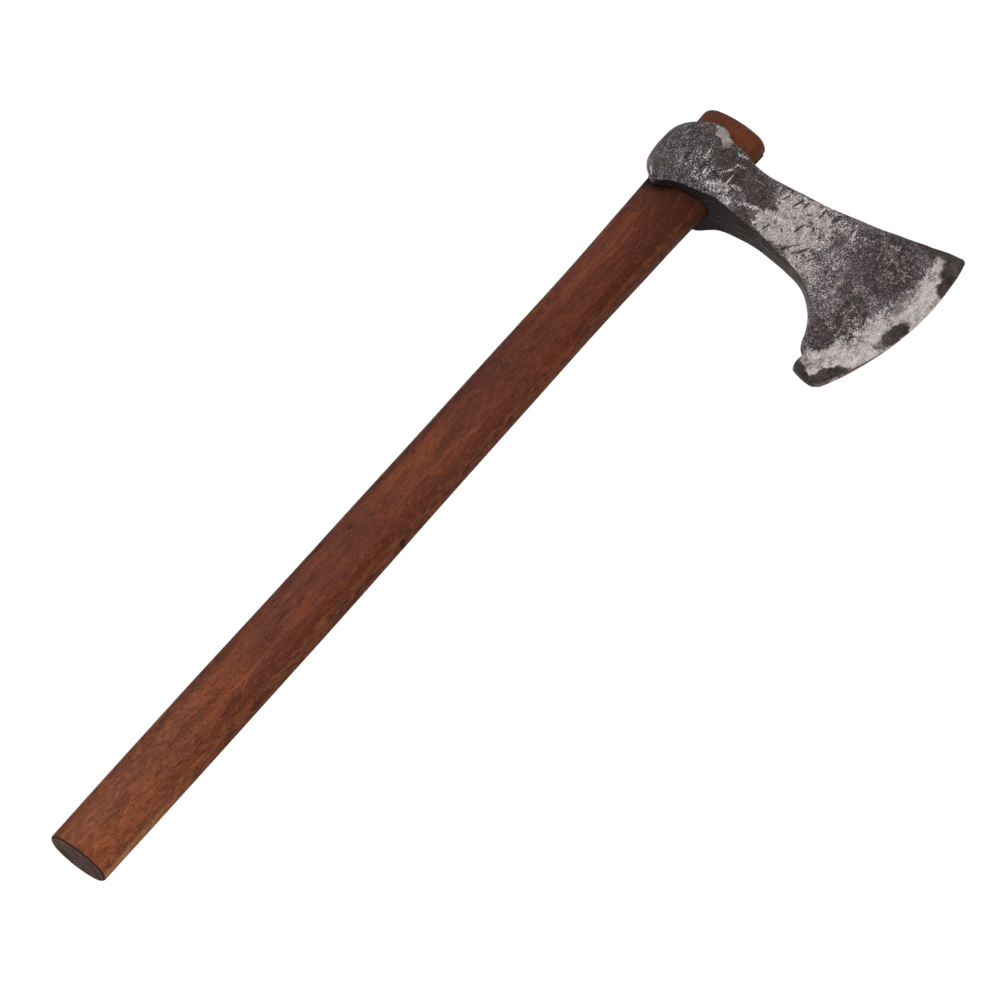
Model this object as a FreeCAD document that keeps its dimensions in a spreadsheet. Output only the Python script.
import FreeCAD, Part
import math
import os

import Sketcher

# Bearded broad axe: forged iron head with a welded steel bit, on a straight
# wooden haft held by a wooden wedge and a small steel cross wedge.
# Frame: origin at the centre of the haft's butt end face, +Z up the haft,
# +X towards the cutting edge, +Y across the thickness. XZ is the plane of
# symmetry. Millimetres.

doc = FreeCAD.newDocument("broad_axe")
sheet = doc.addObject("Spreadsheet::Sheet", "Dim")

# ---- driving dimensions -------------------------------------------------
# The side of an outline that leaves a point is a line, or an arc given by its
# radius and bulge. Outlines run counter-clockwise, so an arc that bulges to
# the right of the travel bulges out of the shape.
OUT, IN = +1, -1

# Haft sections: height, width along X, thickness along Y, end radius.
STATIONS = [
    ("butt",      0.0,   36.6, 23.0, 9.6),
    ("grip_low",  130.0, 38.0, 24.0, 10.2),
    ("grip_high", 420.0, 38.4, 24.2, 10.4),
    ("neck",      540.0, 41.2, 24.6, 10.6),
    ("haft_top",  638.0, 46.0, 26.6, 11.6),
]
# Head side view, along the underside from back to front: x, z, arc, bulge.
UNDERSIDE = [
    ("under_back",  -13.0, 559.2),
    ("under_eye",   13.0,  568.4, 42.0, OUT),
    ("under_neck",  33.0,  576.3),
    ("beard_root",  59.0,  "=under_neck_z", 150.0, IN),
    ("beard_upper", 83.0,  572.2, 60.0, IN),
    ("beard_mid",   96.0,  567.0, 60.0, IN),
    ("beard_lower", 103.0, 560.2, 70.0, IN),
    ("beard_foot",  113.0, 544.2, 90.0, OUT),
]
# Head side view, along the top to the back and down: x, z, arc, bulge.
TOP_AND_BACK = [
    ("top_front",   133.4, 640.2, 700.0, IN),
    ("top_blade",   81.0,  624.5, 520.0, IN),
    ("top_neck",    29.0,  613.6, 40.0, IN),
    ("top_hollow",  11.0,  614.4, 30.0, OUT),
    ("crown_front", -2.0,  619.0, 60.0, OUT),
    ("crown_back",  -18.0, 617.8, 16.5, OUT),
    ("back_high",   -32.4, 603.0, 90.0, OUT),
    ("back_low",    -31.2, 583.6, 30.0, OUT),
    ("back_foot",   -26.0, 573.6),
]
# Head plan view, from back to front: x, half width along Y, arc, bulge.
PLAN = [
    ("cheek_back",  -23.0, 14.0, 90.0, OUT),
    ("cheek_eye",   -5.0,  19.4, 55.0, OUT),
    ("cheek_front", 16.0,  20.0, 22.0, OUT),
    ("neck_side",   28.0,  14.8, 26.0, IN),
    ("neck_front",  42.0,  9.2),
    ("blade_side",  89.0,  4.9),
    ("plan_front",  189.0, "=blade_side_half"),
]
# Bit heel points off the edge arcs: x, z, arc, bulge.
HEEL = [
    ("heel_rise",   124.3, 514.6, 3.6, OUT),
    ("heel_corner", 125.6, 510.4),
    ("heel_foot",   132.0, 508.6),
]
# Blade taper: radius from the centre of the edge arcs, half width along Y.
TAPER = [
    ("taper_root",  112.0, 8.6),
    ("taper_upper", 150.0, 4.6),
    ("taper_mid",   185.0, 3.1),
    ("taper_lower", 203.0, 2.1),
    ("taper_edge",  216.0, 0.9),
    ("taper_end",   221.6, 0.25),
]
# Points on the edge arcs: the arc's radius and the point's height.
ARC_POINTS = [
    ("notch",           "seat_r",   "notch_z"),
    ("toe_in",          "seat_r",   "toe_in_z"),
    ("toe",             "edge_r",   "toe_z"),
    ("heel",            "edge_r",   "heel_z"),
    ("tongue_low_root", "tongue_r", "tongue_low_z"),
    ("tongue_low_seat", "seat_r",   "tongue_low_z"),
    ("tongue_top_seat", "seat_r",   "tongue_top_z"),
    ("tongue_top_root", "tongue_r", "tongue_top_z"),
]


def table_cells(table, *suffixes):
    """(alias, value) for each column of a table that has a suffix."""
    return [(f"{entry[0]}_{suffix}", value)
            for entry in table for suffix, value in zip(suffixes, entry[1:])]


SECTIONS = [
    ("haft sections", table_cells(STATIONS, "z", "width", "thick", "end_r")),
    ("haft: shift along X and rounding of the ends", [
        ("haft_shift", 0.0), ("butt_round", 1.6), ("top_round", 3.2),
    ]),
    ("kerf and wooden wedge: half widths at the top and at the tip", [
        ("kerf_top_half", 2.4), ("kerf_tip_half", 0.5), ("kerf_tip_z", 588.0),
        ("wedge_half_len", 20.8),
    ]),
    ("steel cross wedge", [
        ("cross_x", 3.0), ("cross_top_half", 1.3), ("cross_tip_half", 0.3),
        ("cross_tip_z", 612.0), ("cross_half_len", 7.5),
    ]),
    ("head, plan view", table_cells(PLAN, "x", "half", "r")),
    ("head, plan view: depth of the back and radius of its arc", [
        ("plan_back", 32.5), ("plan_back_r", 15.07),
    ]),
    ("head, side view", table_cells(UNDERSIDE + TOP_AND_BACK, "x", "z", "r")),
    ("cutting edge, weld seat and tongue: arcs about one centre", [
        ("centre_x", -51.0), ("centre_z", 613.0),
        ("edge_r", 220.6), ("seat_r", 197.0), ("tongue_r", 187.0),
        ("notch_z", 523.9), ("toe_in_z", 643.8), ("toe_z", 650.5), ("heel_z", 507.9),
        ("tongue_low_z", 549.0), ("tongue_top_z", 629.0), ("tongue_half", 0.9),
    ]),
    ("heel of the bit", table_cells(HEEL, "x", "z", "r")),
    ("blade taper", table_cells(TAPER, "radius", "half")),
    ("allowances of the blanks and of the shapes that cut them", [
        ("taper_out_half", 34.0), ("margin", 30.0),
        ("head_blank_extra", 6.0), ("bit_blank_extra", 2.0),
    ]),
    ("X of the points on the edge arcs", [
        (f"{name}_x", f"=centre_x + sqrt({radius}^2 - ({height} - centre_z)^2)")
        for name, radius, height in ARC_POINTS
    ]),
]


def fill_sheet():
    """Write every section and return the values by alias."""
    row = 0
    for title, cells in SECTIONS:
        row += 1
        sheet.set(f"A{row}", title)
        for alias, value in cells:
            row += 1
            sheet.set(f"A{row}", alias)
            sheet.set(f"B{row}", str(value))
            sheet.setAlias(f"B{row}", alias)
    doc.recompute()
    return {alias: float(sheet.get(alias)) for _, cells in SECTIONS for alias, _ in cells}


values = fill_sheet()


# ---- sketches -----------------------------------------------------------
# A coordinate is written as aliases and numbers joined by " + " or " - ".
def number(text):
    """Value of a coordinate."""
    total, sign = 0.0, 1.0
    for token in text.split():
        if token in ("+", "-"):
            sign = 1.0 if token == "+" else -1.0
        else:
            total += sign * (values[token] if token in values else float(token))
    return total


def bound(text):
    """The same coordinate written for the expression engine."""
    return " ".join("Dim." + token if token in values else token for token in text.split())


def new_sketch(body, name, role, offset=None):
    """Sketch on an origin plane, moved by {axis: expression}."""
    sketch = body.newObject("Sketcher::SketchObject", name)
    plane = next(item for item in body.Origin.OriginFeatures if item.Role == role)
    sketch.AttachmentSupport = (plane, [""])
    sketch.MapMode = "FlatFace"
    for axis, expression in (offset or {}).items():
        sketch.setExpression(".AttachmentOffset.Base." + axis, expression)
    doc.recompute()
    return sketch


def bind(sketch, expression, *constraint):
    """Add a dimension that follows an expression."""
    index = sketch.addConstraint(Sketcher.Constraint(*constraint))
    sketch.setExpression(f"Constraints[{index}]", expression)


def pin(sketch, geometry, end, x, y):
    """Fix a point by its distances from the origin, which are kept positive."""
    for kind, text in (("DistanceX", x), ("DistanceY", y)):
        value = number(text)
        if value < 0:
            bind(sketch, f"0 - ({bound(text)})", kind, geometry, end, -1, 1, -value)
        else:
            bind(sketch, bound(text), kind, -1, 1, geometry, end, value)


def circle_arc(x, y, radius, start, stop):
    circle = Part.Circle(FreeCAD.Vector(x, y, 0), FreeCAD.Vector(0, 0, 1), radius)
    return Part.ArcOfCircle(circle, start, stop)


def arc_between(start, stop, radius, bulge):
    """Arc from start to stop, shorter than a half circle."""
    chord_x, chord_y = stop[0] - start[0], stop[1] - start[1]
    chord = math.hypot(chord_x, chord_y)
    rise = math.sqrt(radius ** 2 - (chord / 2) ** 2)
    # the centre lies across the chord from the bulge
    x = (start[0] + stop[0]) / 2 - bulge * rise * chord_y / chord
    y = (start[1] + stop[1]) / 2 + bulge * rise * chord_x / chord
    first = math.atan2(start[1] - y, start[0] - x)
    last = math.atan2(stop[1] - y, stop[0] - x)
    if bulge == IN:
        first, last = last, first
    if last <= first:
        last += 2 * math.pi
    return circle_arc(x, y, radius, first, last)


def outline(sketch, points):
    """Closed outline of (x, y, side); side is None for a line, or
    (radius, bulge) for an arc, and leaves the point."""
    places = [(number(x), number(y)) for x, y, _ in points]
    geometry, ends = [], []
    for (_, _, side), start, stop in zip(points, places, places[1:] + places[:1]):
        if side is None:
            shape = Part.LineSegment(FreeCAD.Vector(*start, 0), FreeCAD.Vector(*stop, 0))
        else:
            shape = arc_between(start, stop, number(side[0]), side[1])
        # arcs run counter-clockwise, so one that bulges in is travelled backwards
        ends.append((2, 1) if side and side[1] == IN else (1, 2))
        geometry.append(sketch.addGeometry(shape, False))
    for i in range(len(points)):
        j = (i + 1) % len(points)
        sketch.addConstraint(Sketcher.Constraint(
            "Coincident", geometry[i], ends[i][1], geometry[j], ends[j][0]))
    for i, (x, y, side) in enumerate(points):
        pin(sketch, geometry[i], ends[i][0], x, y)
        if side:
            bind(sketch, bound(side[0]), "Radius", geometry[i], number(side[0]))


def side_of(entry):
    """Side that leaves a table point: an arc if the entry has radius and bulge."""
    return (entry[0] + "_r", entry[4]) if len(entry) == 5 else None


def table_points(table):
    """Side view points of a table."""
    return [(entry[0] + "_x", entry[0] + "_z", side_of(entry)) for entry in table]


def oval(sketch, station):
    """Flattened oval: two end arcs centred on the X axis, and two shallow
    belly arcs tangent to them."""
    width, thick, end_r = (f"{station}_{suffix}" for suffix in ("width", "thick", "end_r"))
    half_thick, radius = number(thick) / 2, number(end_r)
    shift = number("haft_shift")
    reach = number(width) / 2 - radius          # oval's centre to an end arc's centre
    belly_r = (reach ** 2 + half_thick ** 2 - radius ** 2) / (2 * (half_thick - radius))
    belly_y = half_thick - belly_r
    # the arcs touch on the line through their centres
    touch = math.atan2(-belly_y, reach)
    right, top, left, low = [sketch.addGeometry(arc, False) for arc in (
        circle_arc(shift + reach, 0, radius, -touch, touch),
        circle_arc(shift, belly_y, belly_r, touch, math.pi - touch),
        circle_arc(shift - reach, 0, radius, math.pi - touch, math.pi + touch),
        circle_arc(shift, -belly_y, belly_r, math.pi + touch, 2 * math.pi - touch),
    )]
    for first, second in ((right, top), (top, left), (left, low), (low, right)):
        sketch.addConstraint(Sketcher.Constraint("Tangent", first, 2, second, 1))
    for end in (right, left):
        sketch.addConstraint(Sketcher.Constraint("PointOnObject", end, 3, -1))
    sketch.addConstraint(Sketcher.Constraint("Equal", right, left))
    width, thick, end_r = bound(width), bound(thick), bound(end_r)
    bind(sketch, end_r, "Radius", right, radius)
    bind(sketch, f"Dim.haft_shift + {width}/2 - {end_r}",
         "DistanceX", -1, 1, right, 3, shift + reach)
    bind(sketch, f"{width}/2 - {end_r} - Dim.haft_shift",
         "DistanceX", left, 3, -1, 1, reach - shift)
    bind(sketch, f"(({width}/2 - {end_r})^2 + ({thick}/2)^2 - {end_r}^2)"
         f" / (2 * ({thick}/2 - {end_r}))", "Radius", top, belly_r)
    sketch.addConstraint(Sketcher.Constraint("Equal", top, low))


def oval_sections(body, prefix, stations):
    sections = []
    for station, *_ in stations:
        sketch = new_sketch(body, prefix + station, "XY_Plane", {"z": f"Dim.{station}_z"})
        oval(sketch, station)
        sections.append(sketch)
    doc.recompute()
    return sections


# ---- features -----------------------------------------------------------
def new_body(label):
    return doc.addObject("PartDesign::Body", label)


def volume(body):
    doc.recompute()
    return body.Shape.Volume


def feature(body, kind, name, profile=None, length=None, **properties):
    """Add a PartDesign feature; a length is an expression, split evenly about
    the sketch plane."""
    item = body.newObject("PartDesign::" + kind, name)
    if profile is not None:
        item.Profile = profile
    for key, value in properties.items():
        setattr(item, key, value)
    if length:
        item.SideType = "Symmetric"
        item.setExpression("Length", length)
    return item


def subtract(body, kind, name, profile, **options):
    """Add a feature that has to remove material."""
    before = volume(body)
    feature(body, kind, name, profile, **options)
    if not volume(body) < before - 1e-3:
        raise RuntimeError(name + " removed nothing")


def round_rim(body, name, height, radius):
    """Fillet the edges that lie flat at a height."""
    tolerance = 0.05
    base = body.Tip
    edges = []
    for i, edge in enumerate(base.Shape.Edges, 1):
        box = edge.BoundBox
        if abs(box.ZMin - height) < tolerance and abs(box.ZMax - height) < tolerance:
            edges.append(f"Edge{i}")
    fillet = feature(body, "Fillet", name, Base=(base, edges))
    fillet.setExpression("Radius", radius)
    doc.recompute()


# ---- profiles shared by two or more pieces ------------------------------
def kerf_profile(body, name, offset=None):
    """Wedge shape across Y that widens to the top of the haft."""
    sketch = new_sketch(body, name, "YZ_Plane", offset)
    outline(sketch, [
        ("0 - kerf_tip_half", "kerf_tip_z", None),
        ("kerf_tip_half", "kerf_tip_z", None),
        ("kerf_top_half", "haft_top_z", None),
        ("0 - kerf_top_half", "haft_top_z", None),
    ])
    return sketch


def cross_profile(body, name):
    """Wedge shape across X that widens to the top of the haft."""
    sketch = new_sketch(body, name, "XZ_Plane")
    outline(sketch, [
        ("cross_x - cross_tip_half", "cross_tip_z", None),
        ("cross_x + cross_tip_half", "cross_tip_z", None),
        ("cross_x + cross_top_half", "haft_top_z", None),
        ("cross_x - cross_top_half", "haft_top_z", None),
    ])
    return sketch


def tongue_profile(body, name):
    """Strip behind the weld seat, between two arcs."""
    sketch = new_sketch(body, name, "XZ_Plane")
    outline(sketch, [
        ("tongue_low_root_x", "tongue_low_z", None),
        ("tongue_low_seat_x", "tongue_low_z", ("seat_r", OUT)),
        ("tongue_top_seat_x", "tongue_top_z", None),
        ("tongue_top_root_x", "tongue_top_z", ("tongue_r", IN)),
    ])
    return sketch


def taper_blade(body, name):
    """Take both cheeks down to the blade's taper, turned about the line
    parallel to Y through the centre of the edge arcs."""
    sketch = new_sketch(body, name + "_sketch", "XY_Plane",
                        {"x": "Dim.centre_x", "z": "Dim.centre_z"})
    for sign in ("", "0 - "):
        points = [(f"{point}_radius", f"{sign}{point}_half", None) for point, *_ in TAPER]
        points.append(("taper_end_radius", sign + "taper_out_half", None))
        points.append(("taper_root_radius", sign + "taper_out_half", None))
        outline(sketch, points)
    subtract(body, "Groove", name, sketch, ReferenceAxis=(sketch, ["V_Axis"]), Angle=360.0)


# ---- pieces -------------------------------------------------------------
CROSS_LENGTH = "2 * Dim.cross_half_len"
TONGUE_WIDTH = "2 * Dim.tongue_half"
SEAT_STATIONS = STATIONS[3:]


def make_haft():
    body = new_body("haft")
    grip = oval_sections(body, "haft_", STATIONS[:4])
    feature(body, "AdditiveLoft", "haft_grip", grip[0], Sections=grip[1:], Ruled=False)
    doc.recompute()
    seat = oval_sections(body, "haft_up_", SEAT_STATIONS)
    feature(body, "AdditiveLoft", "haft_seat", seat[0], Sections=seat[1:], Ruled=True)
    doc.recompute()
    round_rim(body, "haft_butt_round", values["butt_z"], "Dim.butt_round")
    round_rim(body, "haft_top_round", values["haft_top_z"], "Dim.top_round")
    # the kerf runs along X and is open at both sides of the haft
    subtract(body, "Pocket", "kerf", kerf_profile(body, "kerf_sketch"),
             length="Dim.haft_top_width + Dim.margin")
    subtract(body, "Pocket", "cross_seat", cross_profile(body, "cross_seat_sketch"),
             length=CROSS_LENGTH)
    return body


def make_wooden_wedge():
    body = new_body("wooden_wedge")
    profile = kerf_profile(body, "wedge_sketch", {"z": "Dim.haft_shift"})
    feature(body, "Pad", "wedge_pad", profile, length="2 * Dim.wedge_half_len")
    doc.recompute()
    # split for the cross wedge
    subtract(body, "Pocket", "wedge_split", cross_profile(body, "wedge_split_sketch"),
             length=CROSS_LENGTH)
    return body


def make_steel_wedge():
    body = new_body("steel_wedge")
    feature(body, "Pad", "cross_pad", cross_profile(body, "cross_sketch"),
            length=CROSS_LENGTH)
    doc.recompute()
    return body


def plan_profile(body):
    """Frame around the head's plan outline."""
    sketch = new_sketch(body, "plan_outline", "XY_Plane")
    back, front = "0 - plan_back - margin", "plan_front_x + margin"
    right, left = "0 - cheek_eye_half - margin", "cheek_eye_half + margin"
    outline(sketch, [
        (back, right, None), (front, right, None), (front, left, None), (back, left, None),
    ])
    sides = [side_of(entry) for entry in PLAN]
    going = [(f"{entry[0]}_x", f"0 - {entry[0]}_half", side)
             for entry, side in zip(PLAN, sides)]
    # on the way back each point is left by the side that led to it
    coming = [(f"{entry[0]}_x", f"{entry[0]}_half", side)
              for entry, side in zip(PLAN, [("plan_back_r", OUT)] + sides)]
    outline(sketch, going + coming[::-1])
    return sketch


def make_head():
    body = new_body("head_body")
    sketch = new_sketch(body, "side_outline", "XZ_Plane")
    outline(sketch, table_points(UNDERSIDE) + [
        ("notch_x", "notch_z", ("seat_r", OUT)),
        ("toe_in_x", "toe_in_z", None),
    ] + table_points(TOP_AND_BACK))
    feature(body, "Pad", "head_blank", sketch,
            length="2 * Dim.cheek_eye_half + Dim.head_blank_extra")
    doc.recompute()
    subtract(body, "Pocket", "plan_cut", plan_profile(body),
             Type="ThroughAll", SideType="Symmetric")
    taper_blade(body, "blade_taper")
    # the eye is the same tapered oval as the haft's seat
    eye = oval_sections(body, "eye_", SEAT_STATIONS)
    subtract(body, "SubtractiveLoft", "eye_hole", eye[0], Sections=eye[1:], Ruled=True)
    subtract(body, "Pocket", "weld_cleft", tongue_profile(body, "cleft_sketch"),
             length=TONGUE_WIDTH)
    return body


def make_bit():
    body = new_body("steel_bit")
    sketch = new_sketch(body, "bit_outline", "XZ_Plane")
    rise, corner, foot = table_points(HEEL)
    outline(sketch, [
        foot,
        ("heel_x", "heel_z", ("edge_r", OUT)),
        ("toe_x", "toe_z", None),
        ("toe_in_x", "toe_in_z", ("seat_r", IN)),
        ("notch_x", "notch_z", None),
        rise,
        corner,
    ])
    feature(body, "Pad", "bit_pad", sketch,
            length="2 * Dim.blade_side_half + Dim.bit_blank_extra")
    doc.recompute()
    taper_blade(body, "bit_taper")
    # the tongue fills the head's weld cleft
    before = volume(body)
    feature(body, "Pad", "tongue", tongue_profile(body, "tongue_sketch"),
            length=TONGUE_WIDTH)
    if not volume(body) > before + 1:
        raise RuntimeError("tongue added nothing")
    return body


parts = [make_haft(), make_wooden_wedge(), make_steel_wedge(), make_head(), make_bit()]

# ---- checks and files ---------------------------------------------------
doc.recompute()
bad = [item.Name for item in doc.Objects if "Invalid" in item.State or "Error" in item.State]
if bad:
    raise RuntimeError("objects in error: " + ", ".join(bad))
for body in parts:
    shape = body.Shape
    if shape.isNull() or not shape.isValid() or len(shape.Solids) != 1:
        raise RuntimeError("bad shape: " + body.Label)
for i, body in enumerate(parts):
    for other in parts[i + 1:]:
        overlap = body.Shape.common(other.Shape).Volume
        if overlap > 0.5:
            raise RuntimeError(f"{body.Label} runs into {other.Label} by {overlap:.2f} mm3")

os.makedirs("parts", exist_ok=True)
for body in parts:
    body.Shape.exportStep(os.path.join("parts", body.Label + ".step"))
